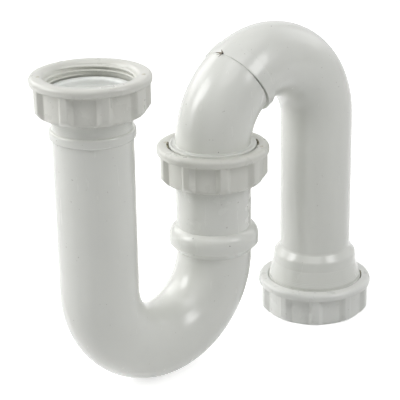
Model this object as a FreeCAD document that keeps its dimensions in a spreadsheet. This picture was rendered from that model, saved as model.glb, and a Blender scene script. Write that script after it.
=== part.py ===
import FreeCAD, Part
import math
import os

import Sketcher

# Tubular S trap with a deep water seal, for a basin or sink waste.
# Lengths are in millimetres and angles in degrees. The origin is the centre of the inlet washer's
# sealing face, +Z runs up out of the inlet nut and +X runs from the inlet leg towards the outlet leg.
# Both bends lie in the XZ plane.

SHEET_NAME = "dims"

# Driving dimensions. Each is a cell of the sheet, under the alias given here.
DIMENSIONS = {
    # tube and bends
    "tube_outer_diameter": 43.0,
    "tube_wall": 2.5,
    "lower_bend_radius": 42.5,
    "upper_bend_radius": 42.5,
    # inlet leg
    "inlet_leg_length": 110.2,
    "bead_height_on_leg": 91.5,
    "bead_width": 5.2,
    "bead_stand_out": 1.4,
    "bead_rounding": 1.25,
    # end flanges that the coupling nuts pull on
    "flange_stand_out": 1.1,
    "flange_thickness": 3.5,
    # welded ring between U bend and riser
    "weld_lead_in": 0.7,
    "weld_cone_height": 4.4,
    "weld_land_below": 2.2,
    "weld_land_above": 2.1,
    "weld_dome_height": 6.2,
    "weld_ring_stand_out": 4.1,
    # riser
    "riser_length": 44.4,
    # flat washers
    "washer_bore_clearance": 0.3,
    "inlet_washer_thickness": 3.8,
    "inlet_washer_rounding": 1.6,
    "union_washer_thickness": 2.5,
    "washer_edge_bevel": 0.4,
    # coupling nuts at inlet and union
    "seat_clearance": 0.2,
    "nut_hole_clearance": 0.3,
    "thread_clearance": 0.3,
    "thread_depth": 1.35,
    "thread_core_wall": 3.4,
    "nut_height": 19.5,
    "nut_floor": 4.0,
    "nut_wall": 4.25,
    "nut_thread_relief": 0.45,
    "nut_entry_depth": 1.7,
    "nut_entry_flare": 1.75,
    "rim_thickness": 4.5,
    "rim_overhang": 3.7,
    "rim_top_rounding": 2.2,
    "rim_under_rounding": 0.9,
    "lug_count": 8,
    "lug_stand_out": 2.4,
    "lug_face_width": 6.0,
    "lug_root_width": 7.0,
    "lug_depth_in_rim": 1.1,
    "lug_edge_rounding": 0.6,
    "nut_base_bevel": 0.8,
    "inlet_nut_turn": 17.0,
    "union_nut_turn": 11.0,
    # elbow
    "elbow_straight": 7.3,
    "elbow_lip_height": 2.3,
    "elbow_lip_above_nut": 0.8,
    "elbow_lip_inset": 0.25,
    # glued joint in the upper bend
    "joint_angle": 56.0,
    "joint_gap_angle": 0.6,
    "spigot_angle": 8.0,
    "spigot_wall": 1.4,
    "glue_clearance": 0.15,
    "socket_angle": 9.2,
    "socket_step_outside": 0.4,
    "socket_step_inside": 2.0,
    "socket_edge_rounding": 0.35,
    # outlet leg and cup
    "outlet_leg_length": 83.1,
    "pipe_outer_diameter": 43.0,
    "pipe_clearance": 0.4,
    "pipe_stop_depth": 3.2,
    "cup_wall": 3.1,
    "cup_shoulder_height": 4.4,
    "cup_shoulder_rounding": 2.2,
    "cup_neck_height": 5.6,
    "cup_neck_draft": 0.4,
    "cup_flare_height": 9.2,
    "cup_lip_height": 1.8,
    "cup_thread_wall": 4.7,
    "cup_thread_length": 8.9,
    "cup_thread_depth": 1.4,
    "cup_seat_depth": 3.4,
    "cup_seat_land": 1.2,
    # outlet seal and slip ring
    "seal_clearance": 0.25,
    "seal_bore_clearance": 0.25,
    "seal_base_height": 5.75,
    "seal_nose_height": 3.0,
    "slip_ring_thickness": 1.8,
    "slip_ring_bore_clearance": 0.45,
    # outlet nut
    "outlet_nut_height": 21.5,
    "outlet_nut_floor": 4.5,
    "outlet_nut_wall": 2.7,
    "outlet_nut_hole_clearance": 0.8,
    "outlet_nut_entry_flare": 1.1,
    "outlet_nut_relief_height": 7.0,
    "outlet_nut_turn": 0.0,
}

# Sketcher's own numbers for the axes and for the points of a line, an arc or a circle
X_AXIS_LINE = -1
Y_AXIS_LINE = -2
ORIGIN_POINT = (-1, 1)
START, END, CENTRE = 1, 2, 3

FULL_TURN = 360.0
HALF_TURN = 180.0
AXIS_MARK_LENGTH = 10.0
MATCH = 1e-3
ROUNDING_SHARE = 0.9


class Measure:
    """A size that keeps its value together with the sheet expression that gives it."""

    def __init__(self, value, text):
        self.value = value
        self.text = text

    def _join(self, other, value, sign):
        text = other.text if isinstance(other, Measure) else repr(float(other))
        return Measure(value, f"({self.text} {sign} {text})")

    def __add__(self, other):
        return self._join(other, self.value + number(other), "+")

    def __sub__(self, other):
        return self._join(other, self.value - number(other), "-")

    def __mul__(self, other):
        return self._join(other, self.value * number(other), "*")

    def __truediv__(self, other):
        return self._join(other, self.value / number(other), "/")

    def __neg__(self):
        return Measure(-self.value, f"(-{self.text})")


def number(size):
    """Gives the plain value of a measure or a number."""
    return size.value if isinstance(size, Measure) else float(size)


def dim(alias):
    """Gives the driving dimension of that alias as a measure."""
    return Measure(DIMENSIONS[alias], f"{SHEET_NAME}.{alias}")


def least(first, second):
    """Gives the smaller of two measures."""
    return Measure(min(first.value, second.value), f"min({first.text}; {second.text})")


ZERO = Measure(0.0, "0")

doc = FreeCAD.newDocument("s_trap")
sheet = doc.addObject("Spreadsheet::Sheet", SHEET_NAME)
for line_number, (alias, amount) in enumerate(DIMENSIONS.items(), start=1):
    sheet.set(f"A{line_number}", alias)
    sheet.set(f"B{line_number}", str(amount))
    sheet.setAlias(f"B{line_number}", alias)
doc.recompute()

# Radii that several pieces share
tube_radius = dim("tube_outer_diameter") / 2
bore_radius = tube_radius - dim("tube_wall")
wall_middle_radius = tube_radius - dim("tube_wall") / 2
flange_radius = tube_radius + dim("flange_stand_out")
weld_radius = tube_radius + dim("weld_ring_stand_out")
washer_bore_radius = bore_radius + dim("washer_bore_clearance")
thread_core_radius = bore_radius + dim("thread_core_wall")
thread_crest_radius = thread_core_radius + dim("thread_depth")
nut_bore_radius = thread_crest_radius + dim("thread_clearance")
nut_hole_radius = tube_radius + dim("nut_hole_clearance")
pipe_bore_radius = dim("pipe_outer_diameter") / 2 + dim("pipe_clearance")
cup_core_radius = pipe_bore_radius + dim("cup_thread_wall")
cup_lip_radius = cup_core_radius + dim("cup_thread_depth")

# Levels along Z, counted up from the lower bend's centre plane
weld_level = dim("weld_lead_in") + dim("weld_cone_height") + dim("weld_land_below")
riser_top_level = weld_level + dim("riser_length")
elbow_end_level = riser_top_level + dim("union_washer_thickness")
upper_bend_level = elbow_end_level + dim("elbow_straight")
inlet_washer_level = dim("inlet_leg_length")
inlet_nut_level = inlet_washer_level - dim("flange_thickness") - dim("seat_clearance") - dim("nut_floor")
union_nut_level = riser_top_level - dim("flange_thickness") - dim("seat_clearance") - dim("nut_floor")
cup_length = (
    dim("cup_shoulder_height") + dim("cup_neck_height") + dim("cup_flare_height")
    + dim("cup_lip_height") + dim("cup_thread_length")
)
cup_end_level = upper_bend_level - dim("outlet_leg_length") - cup_length
seal_level = cup_end_level - dim("seal_clearance") - dim("seal_base_height")
slip_ring_level = seal_level - dim("slip_ring_thickness")
outlet_nut_level = slip_ring_level - dim("seat_clearance") - dim("outlet_nut_floor")

# Places of the shared levels and axes in the part's own frame
base_level = -(dim("inlet_leg_length") + dim("inlet_washer_thickness"))
lower_bend_x = dim("lower_bend_radius")
riser_x = dim("lower_bend_radius") * 2
upper_bend_x = riser_x + dim("upper_bend_radius")
outlet_x = upper_bend_x + dim("upper_bend_radius")


def make_body(label, x, level, turn=None):
    """Adds a body at an axis and a level, turned about its own Z axis."""
    body = doc.addObject("PartDesign::Body", label)
    body.Label = label
    body.Placement = FreeCAD.Placement(FreeCAD.Vector(), FreeCAD.Rotation(FreeCAD.Vector(0, 0, 1), 0))
    body.setExpression("Placement.Base.x", x.text)
    body.setExpression("Placement.Base.z", (base_level + level).text)
    if turn is not None:
        body.setExpression("Placement.Rotation.Angle", turn.text)
    return body


def origin_feature(body, role):
    """Finds one of the body's own origin planes or axes."""
    return next(feature for feature in body.Origin.OriginFeatures if feature.Role == role)


def make_sketch(body, name, plane_role):
    """Adds a sketch on one of the body's origin planes."""
    sketch = body.newObject("Sketcher::SketchObject", name)
    sketch.AttachmentSupport = (origin_feature(body, plane_role), [""])
    sketch.MapMode = "FlatFace"
    return sketch


def bind(sketch, constraint, label, size):
    """Adds a dimension to a sketch and ties it to the sheet."""
    index = sketch.addConstraint(constraint)
    sketch.renameConstraint(index, label)
    sketch.setExpression(f"Constraints.{label}", size.text)


def place_point(sketch, label, anchor, point, across, up):
    """Dimensions a sketch point sideways from an anchor and upwards from the origin."""
    for kind, base, axis_line, size in (
        ("DistanceX", anchor, Y_AXIS_LINE, across),
        ("DistanceY", ORIGIN_POINT, X_AXIS_LINE, up),
    ):
        if size is ZERO:
            sketch.addConstraint(Sketcher.Constraint("PointOnObject", *point, axis_line))
        else:
            bind(sketch, Sketcher.Constraint(kind, *base, *point, size.value), f"{label}_{kind}", size)


def tangent_arc(start, end):
    """Gives the arc that leaves start straight up and ends at end, nearer the axis."""
    across = start.x - end.x
    rise = end.y - start.y
    radius = (across**2 + rise**2) / (2 * across)
    circle = Part.Circle(FreeCAD.Vector(start.x - radius, start.y), FreeCAD.Vector(0, 0, 1), radius)
    return Part.ArcOfCircle(circle, 0, math.asin(rise / radius))


def revolve_profile(body, name, corners, axis_x=ZERO, dome_after=None):
    """Turns a half section, given as corners (radius, level), about an upright axis.

    The side that starts at the corner numbered dome_after is an arc that is tangent to the
    upright side before it.
    """
    sketch = make_sketch(body, f"{name}_section", "XZ_Plane")
    anchor = ORIGIN_POINT
    axis_name = "V_Axis"
    if axis_x is not ZERO:
        foot = FreeCAD.Vector(axis_x.value, 0)
        axis = sketch.addGeometry(Part.LineSegment(foot, foot + FreeCAD.Vector(0, AXIS_MARK_LENGTH)), True)
        anchor = (axis, START)
        axis_name = "Axis0"
        sketch.addConstraint(Sketcher.Constraint("Vertical", axis))
        place_point(sketch, "axis_foot", ORIGIN_POINT, anchor, axis_x, ZERO)
    points = [FreeCAD.Vector(axis_x.value + radius.value, level.value) for radius, level in corners]
    sides = []
    for index, point in enumerate(points):
        following = points[(index + 1) % len(points)]
        side = tangent_arc(point, following) if index == dome_after else Part.LineSegment(point, following)
        sides.append(sketch.addGeometry(side))
    for index, side in enumerate(sides):
        following = (index + 1) % len(sides)
        meeting = "Tangent" if following == dome_after else "Coincident"
        sketch.addConstraint(Sketcher.Constraint(meeting, side, END, sides[following], START))
        radius, level = corners[index]
        place_point(sketch, f"corner_{index}", anchor, (side, START), radius, level)
    return revolve(body, name, sketch, axis_name, Measure(FULL_TURN, repr(FULL_TURN)))


def revolve(body, name, sketch, axis_name, angle, backwards=False):
    """Turns a closed sketch about one of its own axes."""
    feature = body.newObject("PartDesign::Revolution", name)
    feature.Profile = sketch
    feature.ReferenceAxis = (sketch, [axis_name])
    feature.Reversed = backwards
    feature.setExpression("Angle", angle.text)
    doc.recompute()
    return feature


def bend(body, name, outer, inner, centre_x, start, angle, backwards, outer_shift=ZERO):
    """Sweeps a tube wall round the body's Y axis, from a start angle through an angle."""
    sketch = make_sketch(body, f"{name}_wall", "XY_Plane")
    sketch.AttachmentOffset = FreeCAD.Placement(
        FreeCAD.Vector(), FreeCAD.Rotation(FreeCAD.Vector(0, 1, 0), start.value)
    )
    if start is not ZERO:
        sketch.setExpression("AttachmentOffset.Rotation.Angle", start.text)
    for label, radius, middle in (("outer", outer, centre_x + outer_shift), ("inner", inner, centre_x)):
        centre = FreeCAD.Vector(middle.value, 0)
        ring = sketch.addGeometry(Part.Circle(centre, FreeCAD.Vector(0, 0, 1), radius.value))
        place_point(sketch, label, ORIGIN_POINT, (ring, CENTRE), middle, ZERO)
        bind(sketch, Sketcher.Constraint("Radius", ring, radius.value), f"{label}_radius", radius)
    return revolve(body, name, sketch, "V_Axis", angle, backwards)


def ring_edges(feature, radius, level=None):
    """Names the feature's round edges of a radius, at one level along Z where that is given."""
    names = []
    for index, edge in enumerate(feature.Shape.Edges, start=1):
        if not isinstance(edge.Curve, Part.Circle) or abs(edge.Curve.Radius - radius.value) > MATCH:
            continue
        if level is None or abs(edge.Curve.Center.z - level.value) < MATCH:
            names.append(f"Edge{index}")
    return names


def round_edges(body, name, feature, edges, radius):
    """Rounds edges of the body's last feature."""
    fillet = body.newObject("PartDesign::Fillet", name)
    fillet.Base = (feature, edges)
    fillet.setExpression("Radius", radius.text)
    doc.recompute()
    return fillet


def upright_edges(feature, distance, low):
    """Names the straight upright edges at a distance from the Z axis that start at a level."""
    names = []
    for index, edge in enumerate(feature.Shape.Edges, start=1):
        box = edge.BoundBox
        upright = box.XLength < MATCH and box.YLength < MATCH
        in_place = abs(math.hypot(box.XMin, box.YMin) - distance) < MATCH
        if upright and in_place and abs(box.ZMin - low) < MATCH:
            names.append(f"Edge{index}")
    return names


def make_nut(label, x, level, turn, bore, hole, wall, height, floor, relief_height, entry_flare):
    """Builds a coupling nut: a rim at the open end, an inward floor and grip lugs round the wall."""
    body = make_body(label, x, level, turn)
    wall_radius = bore + wall
    rim_radius = wall_radius + dim("rim_overhang")
    rim_under = height - dim("rim_thickness")
    relief_radius = bore + dim("nut_thread_relief")
    bevel = dim("nut_base_bevel")
    thread_start = floor + relief_height
    shell = revolve_profile(body, f"{label}_shell", [
        (hole, ZERO),
        (wall_radius - bevel, ZERO),
        (wall_radius, bevel),
        (wall_radius, rim_under),
        (rim_radius, rim_under),
        (rim_radius, height),
        (bore + entry_flare, height),
        (bore, height - dim("nut_entry_depth")),
        (bore, thread_start),
        (relief_radius, thread_start),
        (relief_radius, floor),
        (hole, floor),
    ])
    top_edge = ring_edges(shell, rim_radius, height)
    top = round_edges(body, f"{label}_rim_top", shell, top_edge, dim("rim_top_rounding"))
    under_edge = ring_edges(top, rim_radius, rim_under)
    round_edges(body, f"{label}_rim_under", top, under_edge, dim("rim_under_rounding"))
    lug_radius = wall_radius + dim("lug_stand_out")
    root_radius = wall_radius - bevel
    sketch = make_sketch(body, f"{label}_lug_section", "XY_Plane")
    corners = [
        (root_radius, -(dim("lug_root_width") / 2)),
        (lug_radius, -(dim("lug_face_width") / 2)),
        (lug_radius, dim("lug_face_width") / 2),
        (root_radius, dim("lug_root_width") / 2),
    ]
    points = [FreeCAD.Vector(across.value, along.value) for across, along in corners]
    sides = [
        sketch.addGeometry(Part.LineSegment(point, points[(index + 1) % len(points)]))
        for index, point in enumerate(points)
    ]
    for index, side in enumerate(sides):
        following = sides[(index + 1) % len(sides)]
        sketch.addConstraint(Sketcher.Constraint("Coincident", side, END, following, START))
        place_point(sketch, f"corner_{index}", ORIGIN_POINT, (side, START), *corners[index])
    lug = body.newObject("PartDesign::Pad", f"{label}_lug")
    lug.Profile = sketch
    lug.setExpression("Length", (rim_under + dim("lug_depth_in_rim")).text)
    doc.recompute()
    lugs = body.newObject("PartDesign::PolarPattern", f"{label}_lugs")
    lugs.Originals = [lug]
    lugs.Axis = (origin_feature(body, "Z_Axis"), [""])
    lugs.Angle = FULL_TURN
    lugs.setExpression("Occurrences", dim("lug_count").text)
    body.Tip = lugs
    doc.recompute()
    corner_distance = math.hypot(lug_radius.value, DIMENSIONS["lug_face_width"] / 2)
    edges = upright_edges(lugs, corner_distance, 0.0)
    round_edges(body, f"{label}_lug_edges", lugs, edges, dim("lug_edge_rounding"))
    return body


def make_u_bend():
    """Builds the inlet leg with its bead and flange, the lower bend and half of the weld ring."""
    body = make_body("u_bend", lower_bend_x, ZERO)
    radius = dim("lower_bend_radius")
    half_turn = Measure(HALF_TURN, repr(HALF_TURN))
    bend(body, "lower_bend", tube_radius, bore_radius, -radius, ZERO, half_turn, True)
    bead_radius = tube_radius + dim("bead_stand_out")
    bead_low = dim("bead_height_on_leg") - dim("bead_width") / 2
    bead_high = dim("bead_height_on_leg") + dim("bead_width") / 2
    flange_low = dim("inlet_leg_length") - dim("flange_thickness")
    revolve_profile(body, "weld_lower_half", [
        (bore_radius, ZERO),
        (tube_radius, ZERO),
        (tube_radius, dim("weld_lead_in")),
        (weld_radius, weld_level - dim("weld_land_below")),
        (weld_radius, weld_level),
        (bore_radius, weld_level),
    ], radius)
    leg = revolve_profile(body, "inlet_leg", [
        (bore_radius, ZERO),
        (tube_radius, ZERO),
        (tube_radius, bead_low),
        (bead_radius, bead_low),
        (bead_radius, bead_high),
        (tube_radius, bead_high),
        (tube_radius, flange_low),
        (flange_radius, flange_low),
        (flange_radius, dim("inlet_leg_length")),
        (bore_radius, dim("inlet_leg_length")),
    ], -radius)
    round_edges(body, "bead_rounding", leg, ring_edges(leg, bead_radius), dim("bead_rounding"))
    return body


def make_riser():
    """Builds the straight tube with the domed half of the weld ring and the union flange."""
    body = make_body("riser", riser_x, weld_level)
    flange_low = dim("riser_length") - dim("flange_thickness")
    revolve_profile(body, "riser_tube", [
        (bore_radius, ZERO),
        (weld_radius, ZERO),
        (weld_radius, dim("weld_land_above")),
        (tube_radius, dim("weld_land_above") + dim("weld_dome_height")),
        (tube_radius, flange_low),
        (flange_radius, flange_low),
        (flange_radius, dim("riser_length")),
        (bore_radius, dim("riser_length")),
    ], dome_after=2)
    return body


def make_washer(label, x, level, thickness):
    """Builds a flat ring washer with the flanges' outline."""
    body = make_body(label, x, level)
    bevel = dim("washer_edge_bevel")
    ring = revolve_profile(body, f"{label}_ring", [
        (washer_bore_radius, ZERO),
        (flange_radius - bevel, ZERO),
        (flange_radius, bevel),
        (flange_radius, thickness - bevel),
        (flange_radius - bevel, thickness),
        (washer_bore_radius, thickness),
    ])
    return body, ring


def make_elbow():
    """Builds the threaded collar, the first part of the upper bend and the spigot."""
    body = make_body("elbow", upper_bend_x, upper_bend_level)
    radius = dim("upper_bend_radius")
    tube_end = dim("joint_angle") - dim("joint_gap_angle")
    bend(body, "elbow_tube", tube_radius, bore_radius, -radius, ZERO, tube_end, False)
    spigot_radius = bore_radius + dim("spigot_wall")
    spigot_turn = dim("joint_gap_angle") + dim("spigot_angle")
    bend(body, "spigot", spigot_radius, bore_radius, -radius, tube_end, spigot_turn, False)
    foot = -dim("elbow_straight")
    lip_radius = thread_crest_radius - dim("elbow_lip_inset")
    lip_top = union_nut_level + dim("nut_height") + dim("elbow_lip_above_nut") - upper_bend_level
    lip_low = lip_top - dim("elbow_lip_height")
    revolve_profile(body, "threaded_collar", [
        (bore_radius, foot),
        (thread_core_radius, foot),
        (thread_core_radius, lip_low),
        (lip_radius, lip_low),
        (lip_radius, lip_top),
        (wall_middle_radius, lip_top),
        (wall_middle_radius, ZERO),
        (bore_radius, ZERO),
    ], -radius)
    return body


def make_outlet_bend():
    """Builds the socket, the rest of the upper bend, the outlet leg and the pipe cup."""
    body = make_body("outlet_bend", upper_bend_x, upper_bend_level)
    radius = dim("upper_bend_radius")
    socket_end = dim("joint_angle") + dim("spigot_angle")
    rest_of_turn = Measure(HALF_TURN, repr(HALF_TURN)) - socket_end
    bend(body, "outlet_tube", tube_radius, bore_radius, radius, ZERO, rest_of_turn, True)
    socket_bore = bore_radius + dim("spigot_wall") + dim("glue_clearance")
    socket_radius = tube_radius + (dim("socket_step_inside") + dim("socket_step_outside")) / 2
    socket_offset = (dim("socket_step_inside") - dim("socket_step_outside")) / 2
    socket = bend(
        body, "socket", socket_radius, socket_bore, -radius, dim("joint_angle"), dim("socket_angle"), False,
        socket_offset,
    )
    socket_rounding = least(dim("socket_edge_rounding"), dim("socket_step_outside") * ROUNDING_SHARE)
    round_edges(body, "socket_rounding", socket, ring_edges(socket, socket_radius), socket_rounding)
    shoulder_top = -dim("outlet_leg_length")
    neck_top = shoulder_top - dim("cup_shoulder_height")
    flare_top = neck_top - dim("cup_neck_height")
    lip_top = flare_top - dim("cup_flare_height")
    lip_low = lip_top - dim("cup_lip_height")
    cup_end = lip_low - dim("cup_thread_length")
    neck_radius = pipe_bore_radius + dim("cup_wall")
    cup = revolve_profile(body, "outlet_leg", [
        (bore_radius, ZERO),
        (tube_radius, ZERO),
        (tube_radius, shoulder_top),
        (neck_radius, neck_top),
        (neck_radius + dim("cup_neck_draft"), flare_top),
        (cup_lip_radius, lip_top),
        (cup_lip_radius, lip_low),
        (cup_core_radius, lip_low),
        (cup_core_radius, cup_end),
        (cup_core_radius - dim("cup_seat_land"), cup_end),
        (pipe_bore_radius, cup_end + dim("cup_seat_depth")),
        (pipe_bore_radius, shoulder_top - dim("pipe_stop_depth")),
        (bore_radius, shoulder_top - dim("pipe_stop_depth")),
    ], radius)
    shoulder_edges = ring_edges(cup, tube_radius, shoulder_top) + ring_edges(cup, neck_radius, neck_top)
    round_edges(body, "shoulder_rounding", cup, shoulder_edges, dim("cup_shoulder_rounding"))
    return body


def make_outlet_seal():
    """Builds the wedge seal that grips the waste pipe under the cup."""
    body = make_body("outlet_seal", outlet_x, seal_level)
    bore = dim("pipe_outer_diameter") / 2 + dim("seal_bore_clearance")
    base_top = dim("seal_base_height")
    seat_slope = (cup_core_radius - dim("cup_seat_land") - pipe_bore_radius) / dim("cup_seat_depth")
    nose_foot = cup_core_radius - dim("cup_seat_land") - dim("seal_clearance") * 2
    revolve_profile(body, "seal_ring", [
        (bore, ZERO),
        (cup_lip_radius - dim("seal_clearance"), ZERO),
        (cup_lip_radius - dim("seal_clearance"), base_top),
        (nose_foot, base_top),
        (nose_foot - seat_slope * dim("seal_nose_height"), base_top + dim("seal_nose_height")),
        (bore, base_top + dim("seal_nose_height")),
    ])
    return body


def make_slip_ring():
    """Builds the thin ring that lets the nut turn without dragging the seal."""
    body = make_body("outlet_slip_ring", outlet_x, slip_ring_level)
    bore = dim("pipe_outer_diameter") / 2 + dim("slip_ring_bore_clearance")
    outer = cup_lip_radius - dim("seal_clearance")
    thickness = dim("slip_ring_thickness")
    revolve_profile(body, "slip_ring", [
        (bore, ZERO),
        (outer, ZERO),
        (outer, thickness),
        (bore, thickness),
    ])
    return body


def build():
    """Builds every sub-part and gives them in order from inlet to outlet."""
    coupling = {
        "bore": nut_bore_radius,
        "hole": nut_hole_radius,
        "wall": dim("nut_wall"),
        "height": dim("nut_height"),
        "floor": dim("nut_floor"),
        "relief_height": dim("seat_clearance") + dim("flange_thickness") + dim("inlet_washer_thickness"),
        "entry_flare": dim("nut_entry_flare"),
    }
    inlet_nut = make_nut("inlet_nut", ZERO, inlet_nut_level, dim("inlet_nut_turn"), **coupling)
    inlet_washer, ring = make_washer("inlet_washer", ZERO, inlet_washer_level, dim("inlet_washer_thickness"))
    lip = ring_edges(ring, washer_bore_radius, dim("inlet_washer_thickness"))
    round_edges(inlet_washer, "inlet_washer_lip", ring, lip, dim("inlet_washer_rounding"))
    union_washer, _ = make_washer("union_washer", riser_x, riser_top_level, dim("union_washer_thickness"))
    outlet_nut = make_nut(
        "outlet_nut", outlet_x, outlet_nut_level, dim("outlet_nut_turn"),
        bore=cup_lip_radius + dim("thread_clearance"),
        hole=dim("pipe_outer_diameter") / 2 + dim("outlet_nut_hole_clearance"),
        wall=dim("outlet_nut_wall"),
        height=dim("outlet_nut_height"),
        floor=dim("outlet_nut_floor"),
        relief_height=dim("outlet_nut_relief_height"),
        entry_flare=dim("outlet_nut_entry_flare"),
    )
    return [
        inlet_nut,
        inlet_washer,
        make_u_bend(),
        make_riser(),
        make_nut("union_nut", riser_x, union_nut_level, dim("union_nut_turn"), **coupling),
        union_washer,
        make_elbow(),
        make_outlet_bend(),
        make_outlet_seal(),
        make_slip_ring(),
        outlet_nut,
    ]


def check_document(bodies):
    """Stops if an object failed or a sub-part has no sound solid."""
    doc.recompute()
    for item in doc.Objects:
        if "Invalid" in item.State or "Error" in item.State:
            raise RuntimeError(f"{item.Name} failed: {item.State}")
    for body in bodies:
        shape = body.Shape
        if shape.isNull() or not shape.isValid() or len(shape.Solids) != 1:
            raise RuntimeError(f"{body.Label} has no sound single solid")


def main():
    """Builds, checks and writes the sub-parts."""
    bodies = build()
    check_document(bodies)
    os.makedirs("parts", exist_ok=True)
    for body in bodies:
        body.Shape.exportStep(f"parts/{body.Label}.step")
        print(f"{body.Label}: {body.Shape.Volume:.1f} mm3")


main()
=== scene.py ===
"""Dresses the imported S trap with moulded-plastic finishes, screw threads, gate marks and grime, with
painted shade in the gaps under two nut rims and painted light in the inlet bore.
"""

from __future__ import annotations

import logging
import math
from dataclasses import dataclass, field, replace
from enum import Enum

import bmesh
import bpy
from mathutils import Matrix, Vector
from mathutils.bvhtree import BVHTree

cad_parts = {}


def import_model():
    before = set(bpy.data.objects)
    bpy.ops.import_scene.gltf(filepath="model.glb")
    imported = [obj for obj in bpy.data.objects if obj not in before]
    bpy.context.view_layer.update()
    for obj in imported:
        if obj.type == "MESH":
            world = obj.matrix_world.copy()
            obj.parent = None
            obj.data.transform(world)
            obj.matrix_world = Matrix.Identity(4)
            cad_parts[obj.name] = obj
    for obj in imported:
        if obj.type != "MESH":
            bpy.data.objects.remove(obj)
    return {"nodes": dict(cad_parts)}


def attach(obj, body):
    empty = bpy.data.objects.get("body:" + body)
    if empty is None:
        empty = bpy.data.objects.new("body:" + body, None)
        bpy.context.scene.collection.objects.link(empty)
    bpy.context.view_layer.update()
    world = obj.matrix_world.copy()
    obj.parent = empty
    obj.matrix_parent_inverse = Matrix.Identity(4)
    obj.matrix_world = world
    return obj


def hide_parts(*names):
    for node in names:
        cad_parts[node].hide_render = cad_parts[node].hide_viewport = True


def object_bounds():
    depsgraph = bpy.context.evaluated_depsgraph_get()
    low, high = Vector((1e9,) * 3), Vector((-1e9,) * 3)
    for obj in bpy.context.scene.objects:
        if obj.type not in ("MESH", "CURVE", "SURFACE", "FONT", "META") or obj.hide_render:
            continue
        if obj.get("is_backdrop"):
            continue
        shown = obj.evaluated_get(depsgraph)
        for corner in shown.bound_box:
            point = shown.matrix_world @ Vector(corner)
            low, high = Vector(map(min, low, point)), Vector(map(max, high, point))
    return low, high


log = logging.getLogger("s_trap")

MM = 0.001
IMAGE_SIZE = 400
FULL_TURN = 2 * math.pi

ARM_BODY = "outlet_arm"
RISER_X = 85.0
OUTLET_X = 170.0
PIPE_THREAD_PITCH = 2.309
CUP_THREAD_PITCH = 3.0

Triple = tuple[float, float, float]
Colour = Triple
Pair = tuple[float, float]
Pixel = Pair
Faces = list[tuple[int, ...]]
Node = bpy.types.ShaderNode
Socket = bpy.types.NodeSocket


class ThreadSide(Enum):
    """Which wall a screw thread stands on."""

    INSIDE_NUT = -1
    ON_COLLAR = 1


class NodeSheet:
    """Adds and links the shader nodes of one tree."""

    def __init__(self, tree: bpy.types.NodeTree) -> None:
        """Starts on the tree, emptied."""
        self.tree = tree
        self.tree.nodes.clear()

    def add(self, kind: str, **settings: object) -> Node:
        """Adds a node and sets its properties."""
        node = self.tree.nodes.new(kind)
        for key, value in settings.items():
            setattr(node, key, value)
        return node

    def feed(self, target: Socket, source: object) -> None:
        """Links a socket to a source socket, or sets it to a plain value."""
        if isinstance(source, bpy.types.NodeSocket):
            self.tree.links.new(source, target)
        else:
            target.default_value = source

    def calc(self, operation: str, first: object, second: object = 0.0) -> Socket:
        """Adds a math node.

        Args:
            operation: Blender's name for the sum.
            first: Socket or number.
            second: Socket or number.

        Returns:
            The result's socket.
        """
        node = self.add("ShaderNodeMath", operation=operation)
        self.feed(node.inputs[0], first)
        self.feed(node.inputs[1], second)
        return node.outputs[0]

    def remap(self, value: Socket, low: float, high: float, to_low: float, to_high: float) -> Socket:
        """Maps a value smoothly from one range to another, clamped at both ends.

        Args:
            value: The value's socket.
            low: Start of its range.
            high: End of its range.
            to_low: Result at the start.
            to_high: Result at the end.

        Returns:
            The result's socket.
        """
        node = self.add("ShaderNodeMapRange", interpolation_type="SMOOTHSTEP")
        self.feed(node.inputs["Value"], value)
        for key, amount in (("From Min", low), ("From Max", high), ("To Min", to_low), ("To Max", to_high)):
            node.inputs[key].default_value = amount
        return node.outputs["Result"]

    def seen_by_eye(self) -> Socket:
        """Gives 1 on camera, glossy and transmission rays, and 0 on the rest.

        Returns:
            The value's socket.
        """
        path = self.add("ShaderNodeLightPath")
        mirrored = self.calc("MAXIMUM", path.outputs["Is Glossy Ray"], path.outputs["Is Transmission Ray"])
        return self.calc("MAXIMUM", path.outputs["Is Camera Ray"], mirrored)


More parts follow.
